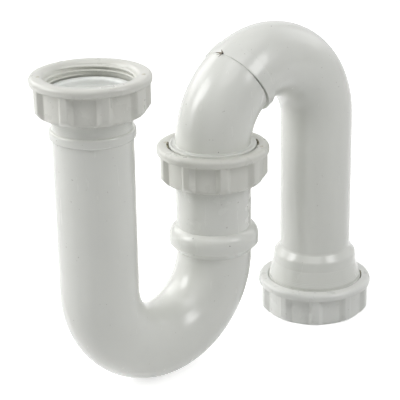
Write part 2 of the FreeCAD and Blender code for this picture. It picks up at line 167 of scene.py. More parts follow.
class FinishSheet(NodeSheet):
    """Builds the shader nodes of one material."""

    def __init__(self, name: str) -> None:
        """Starts an empty material of that name."""
        self.material = bpy.data.materials.new(name)
        self.material.use_nodes = True
        super().__init__(self.material.node_tree)
        self.place = self.add("ShaderNodeTexCoord").outputs["Object"]

    def noise(self, scale: float, detail: float, stretch: Triple = (1.0, 1.0, 1.0)) -> Socket:
        """Adds a noise that may be stretched along the object's axes.

        Args:
            scale: Waves per metre.
            detail: Octaves.
            stretch: Factor on each axis before the noise is read.

        Returns:
            The noise's value socket.
        """
        place = self.place
        if stretch != (1.0, 1.0, 1.0):
            mapping = self.add("ShaderNodeMapping")
            mapping.inputs["Scale"].default_value = stretch
            self.feed(mapping.inputs["Vector"], place)
            place = mapping.outputs["Vector"]
        node = self.add("ShaderNodeTexNoise")
        self.feed(node.inputs["Vector"], place)
        node.inputs["Scale"].default_value = scale
        node.inputs["Detail"].default_value = detail
        node.inputs["Roughness"].default_value = 0.55
        return node.outputs["Fac"]

    def blend(self, share: Socket, first: object, second: object) -> Socket:
        """Mixes two colours.

        Args:
            share: How much of the second colour shows.
            first: Colour or socket.
            second: Colour or socket.

        Returns:
            The mixed colour's socket.
        """
        node = self.add("ShaderNodeMix", data_type="RGBA")
        self.feed(node.inputs[0], share)
        self.feed(node.inputs[6], first if isinstance(first, bpy.types.NodeSocket) else (*first, 1.0))
        self.feed(node.inputs[7], second if isinstance(second, bpy.types.NodeSocket) else (*second, 1.0))
        return node.outputs[2]

    def axis(self, index: int) -> Socket:
        """Gives one coordinate of the surface point, in metres."""
        node = self.add("ShaderNodeSeparateXYZ")
        self.feed(node.inputs[0], self.place)
        return node.outputs[index]

    def bump(self, height: Socket, depth: float, strength: float, normal: Socket | None = None) -> Socket:
        """Turns a height into a bumped normal.

        Args:
            height: Height from 0 to 1.
            depth: What a height of 1 stands for, in metres.
            strength: Share of the bump that shows.
            normal: Normal of a bump below this one.

        Returns:
            The normal's socket.
        """
        node = self.add("ShaderNodeBump")
        node.inputs["Strength"].default_value = strength
        node.inputs["Distance"].default_value = depth
        self.feed(node.inputs["Height"], height)
        if normal is not None:
            self.feed(node.inputs["Normal"], normal)
        return node.outputs["Normal"]

    def surface(
        self, colour: Socket, roughness: Socket, normal: Socket, **sockets: Socket | float
    ) -> bpy.types.Material:
        """Closes the sheet with one principled shader.

        Args:
            colour: Base colour.
            roughness: Roughness.
            normal: Bumped normal.
            **sockets: Values or sources for further sockets, with _ for a space.

        Returns:
            The finished material.
        """
        shader = self.add("ShaderNodeBsdfPrincipled")
        self.feed(shader.inputs["Base Color"], colour)
        self.feed(shader.inputs["Roughness"], roughness)
        self.feed(shader.inputs["Normal"], normal)
        shader.inputs["Subsurface Radius"].default_value = (1.0, 1.0, 1.0)
        for key, value in sockets.items():
            self.feed(shader.inputs[key.replace("_", " ")], value)
        output = self.add("ShaderNodeOutputMaterial")
        self.feed(output.inputs["Surface"], shader.outputs["BSDF"])
        return self.material


def shaded(colour: Colour, factor: float) -> Colour:
    """Gives a colour times a factor."""
    red, green, blue = colour
    return (red * factor, green * factor, blue * factor)


@dataclass(frozen=True)
class MouldedPlastic:
    """Finish of a moulded piece: cloudy tone, specks, scuffs and a fine skin grain, and where asked painted
    light with a faint painted glow in the upper bore. Sizes in metres.
    """

    name: str
    colour: Colour
    roughness: float
    coat: float = 0.2
    coat_roughness: float = 0.12
    refraction: float = 1.49
    cloud_scale: float = 30.0
    cloud_depth: float = 0.012
    speck: Colour = (0.30, 0.27, 0.22)
    speck_scale: float = 620.0
    speck_limits: Pair = (0.76, 0.81)
    speck_share: float = 0.45
    scuff_stretch: Triple = (1.0, 1.0, 0.12)
    scuff_scale: float = 260.0
    scuff_limits: Pair = (0.60, 0.74)
    scuff_shade: float = 0.72
    scuff_share: float = 0.05
    scuff_dulling: float = 0.04
    scuff_depth: float = 0.00001
    patch_scale: float = 75.0
    patch_dulling: Pair = (-0.015, 0.02)
    grain_scale: float = 1400.0
    grain_depth: float = 0.00004
    seam_depth: float = 0.0
    seam_width: float = 0.35 * MM
    ring_levels: tuple[Pair, ...] = ()
    ring_pitch: float = 0.95 * MM
    ring_edge: float = 0.8 * MM
    ring_depth: float = 0.00004
    translucence: float = 0.12
    glow_depth: float = 0.004
    # Painted light in the upper bore: a lighter colour, the size and place of its mask, and a faint glow.
    bore_painted_light_colour: Colour | None = None
    bore_radius: float = 0.02
    bore_edge: float = 0.5 * MM
    bore_depth: float = 0.03
    bore_fade: float = 0.02
    bore_painted_glow: float = 0.0

    def build(self) -> bpy.types.Material:
        """Makes the material.

        Returns:
            The material with its node tree.
        """
        sheet = FinishSheet(self.name)
        tone = sheet.blend(
            sheet.remap(sheet.noise(self.cloud_scale, 4.0), 0.3, 0.7, 0.0, 1.0),
            shaded(self.colour, 1.0 - self.cloud_depth),
            shaded(self.colour, 1.0 + self.cloud_depth * 0.5),
        )
        specks = sheet.remap(sheet.noise(self.speck_scale, 1.0), *self.speck_limits, 0.0, self.speck_share)
        tone = sheet.blend(specks, tone, self.speck)
        scratches = sheet.noise(self.scuff_scale, 3.0, self.scuff_stretch)
        scuffs = sheet.remap(scratches, *self.scuff_limits, 0.0, 1.0)
        scuffed = sheet.calc("MULTIPLY", scuffs, self.scuff_share)
        tone = sheet.blend(scuffed, tone, shaded(self.colour, self.scuff_shade))
        glow: dict[str, Socket] = {}
        # Painted light: the upper bore is painted lighter and glows faintly, standing in for light through
        # the wall.
        if self.bore_painted_light_colour is not None:
            painted_light = self.painted_bore_light(sheet)
            tone = sheet.blend(painted_light, tone, self.bore_painted_light_colour)
            glow["Emission_Strength"] = sheet.calc("MULTIPLY", painted_light, self.bore_painted_glow)
        patches = sheet.remap(sheet.noise(self.patch_scale, 5.0), 0.25, 0.75, *self.patch_dulling)
        dulled = sheet.calc("MULTIPLY", scuffs, self.scuff_dulling)
        roughness = sheet.calc("ADD", sheet.calc("ADD", patches, self.roughness), dulled)
        normal = sheet.bump(sheet.noise(self.grain_scale, 2.0), self.grain_depth, 0.35)
        normal = sheet.bump(scuffs, self.scuff_depth, 0.25, normal)
        normal = self.turned_rings(sheet, normal)
        if self.seam_depth > 0.0:
            off_seam = sheet.calc("ABSOLUTE", sheet.axis(1))
            seam = sheet.remap(off_seam, 0.0, self.seam_width, 1.0, 0.0)
            normal = sheet.bump(seam, self.seam_depth, 0.6, normal)
        return sheet.surface(
            tone,
            roughness,
            normal,
            IOR=self.refraction,
            Coat_Weight=self.coat,
            Coat_Roughness=self.coat_roughness,
            Subsurface_Weight=self.translucence,
            Subsurface_Scale=self.glow_depth,
            **glow,
        )

    def painted_bore_light(self, sheet: FinishSheet) -> Socket:
        """Marks the upper bore of the tube round the Z axis. This part is painted lighter and made to glow
        faintly, as painted light standing for light coming through its wall.

        Args:
            sheet: The material's sheet.

        Returns:
            A socket that gives 1 there and 0 elsewhere.
        """
        across = sheet.calc("POWER", sheet.axis(0), 2.0)
        along = sheet.calc("POWER", sheet.axis(1), 2.0)
        off_axis = sheet.calc("SQRT", sheet.calc("ADD", across, along))
        low, high = self.bore_radius - self.bore_edge, self.bore_radius + self.bore_edge
        inside = sheet.remap(off_axis, low, high, 1.0, 0.0)
        painted_light = sheet.remap(sheet.axis(2), -self.bore_depth - self.bore_fade, -self.bore_depth, 0.0, 1.0)
        return sheet.calc("MULTIPLY", inside, painted_light)

    def turned_rings(self, sheet: FinishSheet, normal: Socket) -> Socket:
        """Adds fine turning lines between the given levels.

        Args:
            sheet: The material's sheet.
            normal: Normal below the lines.

        Returns:
            The normal with the lines.
        """
        for low, high in self.ring_levels:
            level = sheet.axis(2)
            wave = sheet.calc("SINE", sheet.calc("MULTIPLY", level, FULL_TURN / self.ring_pitch))
            above = sheet.remap(level, low, low + self.ring_edge, 0.0, 1.0)
            below = sheet.remap(level, high - self.ring_edge, high, 1.0, 0.0)
            height = sheet.calc("MULTIPLY", wave, sheet.calc("MULTIPLY", above, below))
            normal = sheet.bump(height, self.ring_depth, 0.6, normal)
        return normal


@dataclass(frozen=True)
class SealRubber:
    """Finish of the black wedge seal: matt, with mould bloom."""

    name: str
    colour: Colour
    bloom: Colour

    def build(self) -> bpy.types.Material:
        """Makes the material.

        Returns:
            The material with its node tree.
        """
        sheet = FinishSheet(self.name)
        bloom = sheet.remap(sheet.noise(140.0, 5.0), 0.45, 0.75, 0.0, 0.5)
        tone = sheet.blend(bloom, self.colour, self.bloom)
        roughness = sheet.remap(sheet.noise(60.0, 3.0), 0.3, 0.7, 0.55, 0.75)
        normal = sheet.bump(sheet.noise(1100.0, 3.0), 0.00008, 0.5)
        return sheet.surface(tone, roughness, normal, IOR=1.52)


@dataclass(frozen=True)
class DirtAndShade:
    """Finish of stains and specks, of the dark band in the glued joint's groove, and of the painted shade in
    the nut gaps. It may pale away above a level.
    """

    name: str
    dark: Colour
    light: Colour
    patch_scale: float
    pale: Colour | None = None
    pale_levels: Pair = (0.0, 0.0)

    def build(self) -> bpy.types.Material:
        """Makes the material.

        Returns:
            The material with its node tree.
        """
        sheet = FinishSheet(self.name)
        patches = sheet.remap(sheet.noise(self.patch_scale, 4.0), 0.38, 0.62, 0.0, 1.0)
        tone = sheet.blend(patches, self.dark, self.light)
        if self.pale is not None:
            low, high = self.pale_levels
            tone = sheet.blend(sheet.remap(sheet.axis(2), low, high, 0.0, 1.0), tone, self.pale)
        roughness = sheet.remap(sheet.noise(500.0, 2.0), 0.3, 0.7, 0.5, 0.8)
        normal = sheet.bump(sheet.noise(1600.0, 2.0), 0.00005, 0.6)
        return sheet.surface(tone, roughness, normal, IOR=1.45)


TUBE = MouldedPlastic(
    name="tube_plastic_finish",
    colour=(0.80, 0.81, 0.765),
    roughness=0.24,
    coat=0.25,
    seam_depth=0.00005,
)
INLET_TUBE = replace(
    TUBE,
    name="inlet_tube_finish",
    ring_levels=((-20.6 * MM, -12.1 * MM),),
    # Painted light: the inlet's upper bore is painted lighter and glows faintly.
    bore_painted_light_colour=(0.93, 0.945, 0.92),
    bore_painted_glow=0.07,
)
RISER_TUBE = replace(
    TUBE,
    name="riser_tube_finish",
    roughness=0.26,
    seam_depth=0.0,
    ring_levels=((-78.7 * MM, -70.6 * MM),),
)
OUTLET_TUBE = replace(TUBE, name="outlet_tube_finish", ring_levels=((-157.0 * MM, -151.2 * MM),))
# Painted shade: the inlet and union nuts get a darker copy of the nut finish. It is partly the plastic's
# warmer tone and partly painted shade for the shaded recesses under their rims.
NUT_PAINTED_SHADE = MouldedPlastic(
    name="nut_plastic_painted_shade_finish",
    colour=(0.74, 0.742, 0.688),
    roughness=0.28,
    coat=0.15,
    translucence=0.0,
    scuff_stretch=(1.0, 1.0, 0.35),
    cloud_scale=45.0,
)
# Painted light: the outlet nut gets a lighter copy of the same finish, painted light for its low place near
# the bright floor.
OUTLET_NUT_PAINTED_LIGHT = replace(NUT_PAINTED_SHADE, name="outlet_nut_painted_light_finish", colour=(0.86, 0.87, 0.835))
WASHER = MouldedPlastic(
    name="soft_washer_finish",
    colour=(0.91, 0.93, 0.905),
    roughness=0.36,
    coat=0.05,
    scuff_stretch=(1.0, 1.0, 1.0),
    cloud_scale=60.0,
)
SLIP = MouldedPlastic(
    name="slip_plastic_finish",
    colour=(0.78, 0.76, 0.70),
    roughness=0.42,
    coat=0.0,
    scuff_stretch=(1.0, 1.0, 1.0),
)
MARK = MouldedPlastic(
    name="gate_mark_finish",
    colour=(0.66, 0.64, 0.56),
    roughness=0.5,
    coat=0.0,
    cloud_scale=300.0,
)
RUBBER = SealRubber(name="seal_rubber_finish", colour=(0.022, 0.022, 0.024), bloom=(0.07, 0.07, 0.072))
# Dark band in the glued joint's groove: dark in its lower part, paling to the tube's tone from -14 mm up to
# -8 mm.
JOINT_GROOVE_BAND = DirtAndShade(
    name="joint_groove_band_finish",
    dark=(0.025, 0.021, 0.016),
    light=(0.12, 0.11, 0.09),
    patch_scale=110.0,
    pale=(0.76, 0.77, 0.725),
    pale_levels=(-14.0 * MM, -8.0 * MM),
)
# Painted shade: dark bands laid in the gaps under the union and outlet nut rims, where shade falls.
GAP_PAINTED_SHADE = DirtAndShade("gap_painted_shade_finish", dark=(0.07, 0.06, 0.035), light=(0.34, 0.32, 0.22), patch_scale=320.0)
SPLASH = DirtAndShade("splash_finish", dark=(0.13, 0.11, 0.08), light=(0.30, 0.27, 0.21), patch_scale=400.0)
SPLASH_CORE = DirtAndShade(
    "splash_core_finish", dark=(0.018, 0.015, 0.012), light=(0.06, 0.05, 0.04), patch_scale=500.0
)
SPECK = DirtAndShade("speck_finish", dark=(0.20, 0.19, 0.17), light=(0.36, 0.35, 0.32), patch_scale=900.0)


@dataclass
class PhotoCamera:
    """Camera at the photograph's viewing angle, found by fitting the tube's outline."""

    target: Vector = field(default_factory=lambda: Vector((72.141, -2.686, -80.423)) * MM)
    azimuth: float = 42.1
    elevation: float = 20.893
    distance: float = 824.405 * MM
    roll: float = -1.0
    focal_pixels: float = 1458.4
    sensor: float = 36.0

    def axes(self) -> tuple[Vector, Vector, Vector]:
        """Gives the camera's right, up and forward directions.

        Returns:
            Three unit vectors.
        """
        turn, tilt, roll = (math.radians(angle) for angle in (self.azimuth, self.elevation, self.roll))
        forward = Vector((math.sin(turn) * math.cos(tilt), math.cos(turn) * math.cos(tilt), -math.sin(tilt)))
        right = Vector((math.cos(turn), -math.sin(turn), 0.0))
        up = right.cross(forward)
        rolled_right = right * math.cos(roll) + up * math.sin(roll)
        rolled_up = up * math.cos(roll) - right * math.sin(roll)
        return rolled_right, rolled_up, forward

    def eye(self) -> Vector:
        """Gives the camera's place."""
        return self.target - self.axes()[2] * self.distance

    def ray(self, pixel: Pixel) -> Vector:
        """Gives the direction of the ray through a pixel of the photograph.

        Args:
            pixel: Column and row, from the top left corner.

        Returns:
            A unit vector.
        """
        right, up, forward = self.axes()
        column, row = pixel
        middle = IMAGE_SIZE / 2
        return (forward * self.focal_pixels + right * (column - middle) - up * (row - middle)).normalized()

    def build(self) -> None:
        """Makes the scene's camera."""
        data = bpy.data.cameras.new("photo_camera")
        data.sensor_fit = "HORIZONTAL"
        data.sensor_width = self.sensor
        data.lens = self.focal_pixels * self.sensor / IMAGE_SIZE
        data.clip_start = 0.05
        data.clip_end = 50.0
        camera = bpy.data.objects.new("photo_camera", data)
        bpy.context.scene.collection.objects.link(camera)
        right, up, forward = self.axes()
        turn = Matrix((right, up, -forward)).transposed()
        camera.matrix_world = Matrix.Translation(self.eye()) @ turn.to_4x4()
        bpy.context.scene.camera = camera


@dataclass(frozen=True)
class Softbox:
    """Area lamp, placed by directions seen from the camera: right, towards the camera, up."""

    name: str
    place: Triple
    size: Pair
    power: float

    def build(self, camera: PhotoCamera) -> None:
        """Makes the lamp, facing the object.

        Args:
            camera: Camera whose directions place the lamp.
        """
        right, _, forward = camera.axes()
        level_right = Vector((right.x, right.y, 0.0)).normalized()
        level_back = -Vector((forward.x, forward.y, 0.0)).normalized()
        across, near, high = self.place
        data = bpy.data.lights.new(self.name, "AREA")
        data.shape = "RECTANGLE"
        data.size, data.size_y = self.size
        data.energy = self.power
        lamp = bpy.data.objects.new(self.name, data)
        bpy.context.scene.collection.objects.link(lamp)
        lamp.location = camera.target + level_right * across + level_back * near + Vector((0.0, 0.0, high))
        lamp.rotation_euler = (camera.target - lamp.location).to_track_quat("-Z", "Y").to_euler()


@dataclass
class Studio:
    """Pale floor, white surround, soft lamps and the camera."""

    floor_level: float
    floor_half: float = 6.0
    floor_colour: Colour = (0.80, 0.80, 0.80)
    floor_glow: float = 0.66
    surround_light: float = 0.045
    softboxes: tuple[Softbox, ...] = (
        Softbox("left_window", (-0.95, 0.14, 0.69), (0.50, 0.62), 5.3),
        Softbox("right_window", (0.80, 0.44, 0.69), (0.40, 0.55), 3.9),
        Softbox("front_top_panel", (0.0, 0.507, 1.088), (0.70, 0.70), 2.4),
        Softbox("ceiling", (0.0, 0.02, 1.20), (0.90, 0.90), 1.5),
        Softbox("left_wall", (-1.071, 0.189, 0.507), (0.90, 0.90), 2.2),
        Softbox("left_back_wall", (-0.796, -0.668, 0.60), (0.70, 0.70), 3.5),
        Softbox("right_back_wall", (0.796, -0.668, 0.60), (0.70, 0.70), 1.6),
    )

    def build(self, camera: PhotoCamera) -> None:
        """Makes the whole studio.

        Args:
            camera: Camera at the photograph's viewing angle.
        """
        self.floor()
        self.surround()
        for softbox in self.softboxes:
            softbox.build(camera)
        camera.build()
        bpy.context.scene.view_settings.view_transform = "Standard"

    def floor(self) -> None:
        """Makes the floor, which glows white to the camera and keeps the object's shadow."""
        half = self.floor_half
        mesh = bpy.data.meshes.new("studio_floor")
        corners = [(-half, -half, 0.0), (half, -half, 0.0), (half, half, 0.0), (-half, half, 0.0)]
        mesh.from_pydata(corners, [], [(0, 1, 2, 3)])
        floor = bpy.data.objects.new("studio_floor", mesh)
        bpy.context.scene.collection.objects.link(floor)
        floor.location.z = self.floor_level
        sheet = FinishSheet("studio_floor_finish")
        shader = sheet.add("ShaderNodeBsdfDiffuse")
        shader.inputs["Color"].default_value = (*self.floor_colour, 1.0)
        glow = sheet.add("ShaderNodeEmission")
        sheet.feed(glow.inputs["Strength"], sheet.calc("MULTIPLY", sheet.seen_by_eye(), self.floor_glow))
        both = sheet.add("ShaderNodeAddShader")
        sheet.feed(both.inputs[0], shader.outputs[0])
        sheet.feed(both.inputs[1], glow.outputs[0])
        output = sheet.add("ShaderNodeOutputMaterial")
        sheet.feed(output.inputs["Surface"], both.outputs[0])
        mesh.materials.append(sheet.material)
        floor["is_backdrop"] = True

    def surround(self) -> None:
        """Makes the surround: white to the camera, and a plain level of light on the object."""
        world = bpy.data.worlds.new("studio_surround")
        world.use_nodes = True
        bpy.context.scene.world = world
        sheet = NodeSheet(world.node_tree)
        back = sheet.add("ShaderNodeBackground")
        back.inputs["Color"].default_value = (1.0, 1.0, 1.0, 1.0)
        strength = sheet.remap(sheet.seen_by_eye(), 0.0, 1.0, self.surround_light, 1.0)
        sheet.feed(back.inputs["Strength"], strength)
        output = sheet.add("ShaderNodeOutputWorld")
        sheet.feed(output.inputs["Surface"], back.outputs["Background"])


def add_piece(
    name: str, mesh: bpy.types.Mesh, body: str, finish: bpy.types.Material
) -> bpy.types.Object:
    """Adds a mesh as a piece that rides on a body.

    Args:
        name: The piece's name.
        mesh: Its mesh, in the part's own frame.
        body: Body it moves with.
        finish: Its material.

    Returns:
        The new object.
    """
    mesh.materials.append(finish)
    piece = bpy.data.objects.new(name, mesh)
    bpy.context.scene.collection.objects.link(piece)
    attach(piece, body)
    log.info("piece %s rides on %s", name, body)
    return piece


def mesh_from(name: str, points: list[Vector], faces: Faces, sharp: float = 40.0) -> bpy.types.Mesh:
    """Makes a smooth-shaded mesh with its normals outward.

    Args:
        name: The mesh's name.
        points: Corner points.
        faces: Corner numbers of each face.
        sharp: Angle in degrees above which an edge stays sharp.

    Returns:
        The mesh.
    """
    mesh = bpy.data.meshes.new(name)
    mesh.from_pydata([tuple(point) for point in points], [], faces)
    work = bmesh.new()
    work.from_mesh(mesh)
    bmesh.ops.recalc_face_normals(work, faces=work.faces)
    work.to_mesh(mesh)
    work.free()
    mesh.shade_smooth()
    mesh.set_sharp_from_angle(angle=math.radians(sharp))
    return mesh


def round_point(axis_x: float, radius: float, angle: float, level: float) -> Vector:
    """Gives a point round an upright axis.

    Args:
        axis_x: The axis's X, in mm.
        radius: Distance from the axis, in mm.
        angle: Direction, in radians.
        level: Height, in mm.

    Returns:
        The point, in metres.
    """
    across, along = axis_x + radius * math.cos(angle), radius * math.sin(angle)
    return Vector((across * MM, along * MM, level * MM))


def joined_rows(rows: int, count: int, closed: bool = True) -> Faces:
    """Joins rows of points, each row a loop, into one skin.

    Args:
        rows: Number of rows.
        count: Points in each row.
        closed: Whether the last row joins the first. If not, both ends get a face.

    Returns:
        Corner numbers of each face.
    """
    faces: Faces = []
    for row in range(rows if closed else rows - 1):
        here, after = row * count, (row + 1) % rows * count
        for corner in range(count):
            beside = (corner + 1) % count
            faces.append((here + corner, here + beside, after + beside, after + corner))
    if not closed:
        faces.append(tuple(range(count)))
        faces.append(tuple(range((rows - 1) * count, rows * count)))
    return faces


def clamped(share: float) -> float:
    """Keeps a share between 0 and 1."""
    return min(1.0, max(0.0, share))


@dataclass(frozen=True)
class RoundBand:
    """Closed section turned about an upright axis, all round or over an arc. Sizes in mm."""

    name: str
    axis_x: float
    section: tuple[Pair, ...]
    arc: Pair = (0.0, 360.0)
    step: float = 2.5

    def build(self) -> bpy.types.Mesh:
        """Turns the section.

        Returns:
            The band's mesh.
        """
        start, end = self.arc
        whole = end - start >= 360.0
        steps = max(2, round((end - start) / self.step))
        rows = steps if whole else steps + 1
        points: list[Vector] = []
        for row in range(rows):
            angle = math.radians(start + (end - start) * row / steps)
            points += [round_point(self.axis_x, radius, angle, level) for radius, level in self.section]
        return mesh_from(self.name, points, joined_rows(rows, len(self.section), whole))


def rounded_corner(before: Pair, corner: Pair, after: Pair, radius: float, steps: int = 5) -> list[Pair]:
    """Gives the points of an arc that rounds one corner of a section.

    Args:
        before: Point before the corner, as (radius, level).
        corner: The corner.
        after: Point after the corner.
        radius: Rounding radius.
        steps: Number of chords.

    Returns:
        Points along the arc.
    """
    middle = Vector(corner)
    back = (Vector(before) - middle).normalized()
    onward = (Vector(after) - middle).normalized()
    half = back.angle(onward) / 2
    centre = middle + (back + onward).normalized() * radius / math.sin(half)
    first = (middle + back * radius / math.tan(half) - centre).normalized()
    last = (middle + onward * radius / math.tan(half) - centre).normalized()
    return [tuple(centre + first.slerp(last, step / steps) * radius) for step in range(steps + 1)]


@dataclass(frozen=True)
class GripNut:
    """Coupling nut with soft grip lugs under its rim. Sizes in mm."""

    node: str
    axis_x: float
    base: float
    top: float
    bore: float
    hole: float
    wall: float
    floor: float
    relief_top: float
    entry_flare: float
    lugs: int
    turn: float
    entry_depth: float = 1.7
    relief: float = 0.45
    rim_overhang: float = 3.7
    rim_thickness: float = 4.5
    rim_rounding: float = 2.2
    under_rounding: float = 0.9
    base_bevel: float = 0.8
    lug_stand_out: float = 2.7
    lug_crest: float = 1.7
    lug_foot: float = 4.3
    lug_slope: float = 3.2
    lug_clearance: float = 0.2
    wall_rows: int = 12
    columns: int = 540

    def section(self) -> list[Pair]:
        """Gives the nut's section without lugs, from the base round to the hole.

        Returns:
            Points (radius, level above the base).
        """
        height = self.top - self.base
        wall = self.bore + self.wall
        rim = wall + self.rim_overhang
        under = height - self.rim_thickness
        step = (under - self.base_bevel) / self.wall_rows
        rises = [self.base_bevel + step * row for row in range(self.wall_rows + 1)]
        return [
            (self.hole, 0.0),
            (wall - self.base_bevel, 0.0),
            *[(wall, rise) for rise in rises],
            *rounded_corner((wall, under), (rim, under), (rim, height), self.under_rounding, 4),
            *rounded_corner((rim, under), (rim, height), (wall, height), self.rim_rounding, 7),
            (self.bore + self.entry_flare, height),
            (self.bore, height - self.entry_depth),
            (self.bore, self.relief_top - self.base),
            (self.bore + self.relief, self.relief_top - self.base),
            (self.bore + self.relief, self.floor - self.base),
            (self.hole, self.floor - self.base),
        ]

    def lug(self, angle: float, rise: float) -> float:
        """Gives how far a lug stands out of the wall.

        Args:
            angle: Direction round the nut, in degrees from its first lug.
            rise: Level above the base.

        Returns:
            The height over the wall.
        """
        spacing = 360.0 / self.lugs
        off = abs((angle + spacing / 2) % spacing - spacing / 2)
        reach = math.radians(off) * (self.bore + self.wall)
        share = clamped((self.lug_foot - reach) / (self.lug_foot - self.lug_crest))
        slope = clamped((rise - self.lug_clearance) / self.lug_slope)
        soft = share * share * (3 - 2 * share)
        return self.lug_stand_out * min((share + soft) / 2, slope)

    def build(self) -> bpy.types.Mesh:
        """Turns the section and raises the lugs on its wall.

        Returns:
            The nut's mesh.
        """
        section = self.section()
        wall = self.bore + self.wall
        points: list[Vector] = []
        for column in range(self.columns):
            angle = 360.0 * column / self.columns
            way = math.radians(angle + self.turn)
            for radius, rise in section:
                out = radius + self.lug(angle, rise) if math.isclose(radius, wall) else radius
                points.append(round_point(self.axis_x, out, way, self.base + rise))
        return mesh_from(f"{self.node}_moulding", points, joined_rows(self.columns, len(section)), 50.0)


@dataclass(frozen=True)
class TrapTube:
    """The U bend: inlet leg with its bead, half-turn bend and foot of the welded ring. Sizes in mm."""

    node: str = "u_bend"
    top: float = -3.8
    bend_level: float = -114.0
    bend_radius: float = 42.5
    bore: float = 19.0
    tube: float = 21.5
    flange: float = 22.6
    flange_foot: float = -7.3
    bead: float = 22.9
    bead_level: float = -23.6
    bead_width: float = 5.4
    bead_rounding: float = 1.3
    cone_foot: float = -113.3
    ring: float = 25.6
    ring_foot: float = -108.9
    seam: float = -106.7
    bend_steps: int = 72
    sides: int = 120

    def leg(self) -> list[Pair]:
        """Gives the inlet leg's outer wall from its top down.

        Returns:
            Points (radius, level).
        """
        above = self.bead_level + self.bead_width / 2
        below = self.bead_level - self.bead_width / 2
        wall, bead = self.tube, self.bead
        return [
            (self.flange, self.top),
            (self.flange, self.flange_foot),
            (wall, self.flange_foot),
            (wall, above),
            *rounded_corner((wall, above), (bead, above), (bead, below), self.bead_rounding),
            *rounded_corner((bead, above), (bead, below), (wall, below), self.bead_rounding),
            (wall, below),
        ]

    def rings(self) -> list[tuple[Vector, Vector, float]]:
        """Gives the outer wall's rings along the tube.

        Returns:
            Centre, direction across the tube and radius of each ring.
        """
        ahead = Vector((1.0, 0.0, 0.0))
        rings = [(Vector((0.0, 0.0, level)), ahead, radius) for radius, level in self.leg()]
        for step in range(self.bend_steps + 1):
            turn = math.pi * step / self.bend_steps
            across = Vector((math.cos(turn), 0.0, math.sin(turn)))
            middle = Vector((self.bend_radius, 0.0, self.bend_level))
            rings.append((middle - across * self.bend_radius, across, self.tube))
        rise_x = 2 * self.bend_radius
        foot = ((self.tube, self.cone_foot), (self.ring, self.ring_foot), (self.ring, self.seam))
        rings += [(Vector((rise_x, 0.0, level)), -ahead, radius) for radius, level in foot]
        return rings

    def build(self) -> bpy.types.Mesh:
        """Joins the outer rings and the bore.

        Returns:
            The tube's mesh.
        """
        rings = self.rings()
        rings += [(centre, across, self.bore) for centre, across, _ in reversed(rings)]
        points: list[Vector] = []
        for centre, across, radius in rings:
            for side in range(self.sides):
                angle = FULL_TURN * side / self.sides
                out = across * math.cos(angle) + Vector((0.0, math.sin(angle), 0.0))
                points.append((centre + out * radius) * MM)
        return mesh_from(f"{self.node}_moulding", points, joined_rows(len(rings), self.sides), 30.0)


@dataclass(frozen=True)
class ThreadRidge:
    """Right-hand thread ridge round an upright axis, tapered away at both ends. Sizes in mm."""

    name: str
    side: ThreadSide
    axis_x: float
    root: float
    crest: float
    low: float
    high: float
    pitch: float
    root_width: float
    crest_width: float
    start_angle: float
    sunk: float = 0.3
    run_out: float = 50.0
    steps_per_turn: int = 72

    def section(self, share: float) -> list[Pair]:
        """Gives the ridge's cross-section.

        Args:
            share: Share of the full height, from 0 to 1.

        Returns:
            Points (radius, level above the ridge's middle).
        """
        way = self.side.value
        depth = abs(self.crest - self.root) * share
        half_root = self.root_width / 2 * (0.4 + 0.6 * share)
        half_crest = self.crest_width / 2 * (0.4 + 0.6 * share)
        base = self.root - way * self.sunk
        shoulder = self.root + way * depth * 0.82
        top = self.root + way * depth
        half_shoulder = half_crest + (half_root - half_crest) * 0.18
        return [
            (base, -half_root),
            (self.root, -half_root),
            (shoulder, -half_shoulder),
            (top, -half_crest * 0.6),
            (top, half_crest * 0.6),
            (shoulder, half_shoulder),
            (self.root, half_root),
            (base, half_root),
        ]

    def build(self) -> bpy.types.Mesh:
        """Sweeps the section along the helix.

        Returns:
            The ridge's mesh.
        """
        turns = (self.high - self.low) / self.pitch
        steps = round(turns * self.steps_per_turn)
        points: list[Vector] = []
        for step in range(steps + 1):
            along = step / steps
            swept = along * turns * 360.0
            share = min(1.0, swept / self.run_out, (turns * 360.0 - swept) / self.run_out)
            share = max(0.02, share * share * (3 - 2 * share))
            angle = math.radians(self.start_angle + swept)
            level = self.low + (self.high - self.low) * along
            for radius, rise in self.section(share):
                points.append(round_point(self.axis_x, radius, angle, level + rise))
        faces = joined_rows(steps + 1, len(self.section(1.0)), closed=False)
        return mesh_from(self.name, points, faces)


class Skin:
    """Surface of some pieces, for setting small marks on it where the photograph shows them."""

    def __init__(self, camera: PhotoCamera, *pieces: bpy.types.Object) -> None:
        """Reads the pieces' faces."""
        corners: list[Vector] = []
        faces: Faces = []
        for piece in pieces:
            first = len(corners)
            corners += [vertex.co.copy() for vertex in piece.data.vertices]
            faces += [tuple(first + corner for corner in face.vertices) for face in piece.data.polygons]
        self.tree = BVHTree.FromPolygons(corners, faces)
        self.camera = camera

    def under(self, pixel: Pixel) -> tuple[Vector, Vector]:
        """Finds the surface point under a pixel of the photograph.

        Args:
            pixel: Column and row.

        Returns:
            The point and its outward normal.
        """
        place, normal, _, _ = self.tree.ray_cast(self.camera.eye(), self.camera.ray(pixel))
        if place is None:
            raise ValueError(f"no surface under pixel {pixel}")
        if normal.dot(self.camera.ray(pixel)) > 0:
            normal = -normal
        return place, normal


DOME_SIDES = 10
DOME_RINGS = ((1.0, -0.06), (0.7, 0.10))
DOME_TOP = 0.16
DOME_SQUASH = 0.8


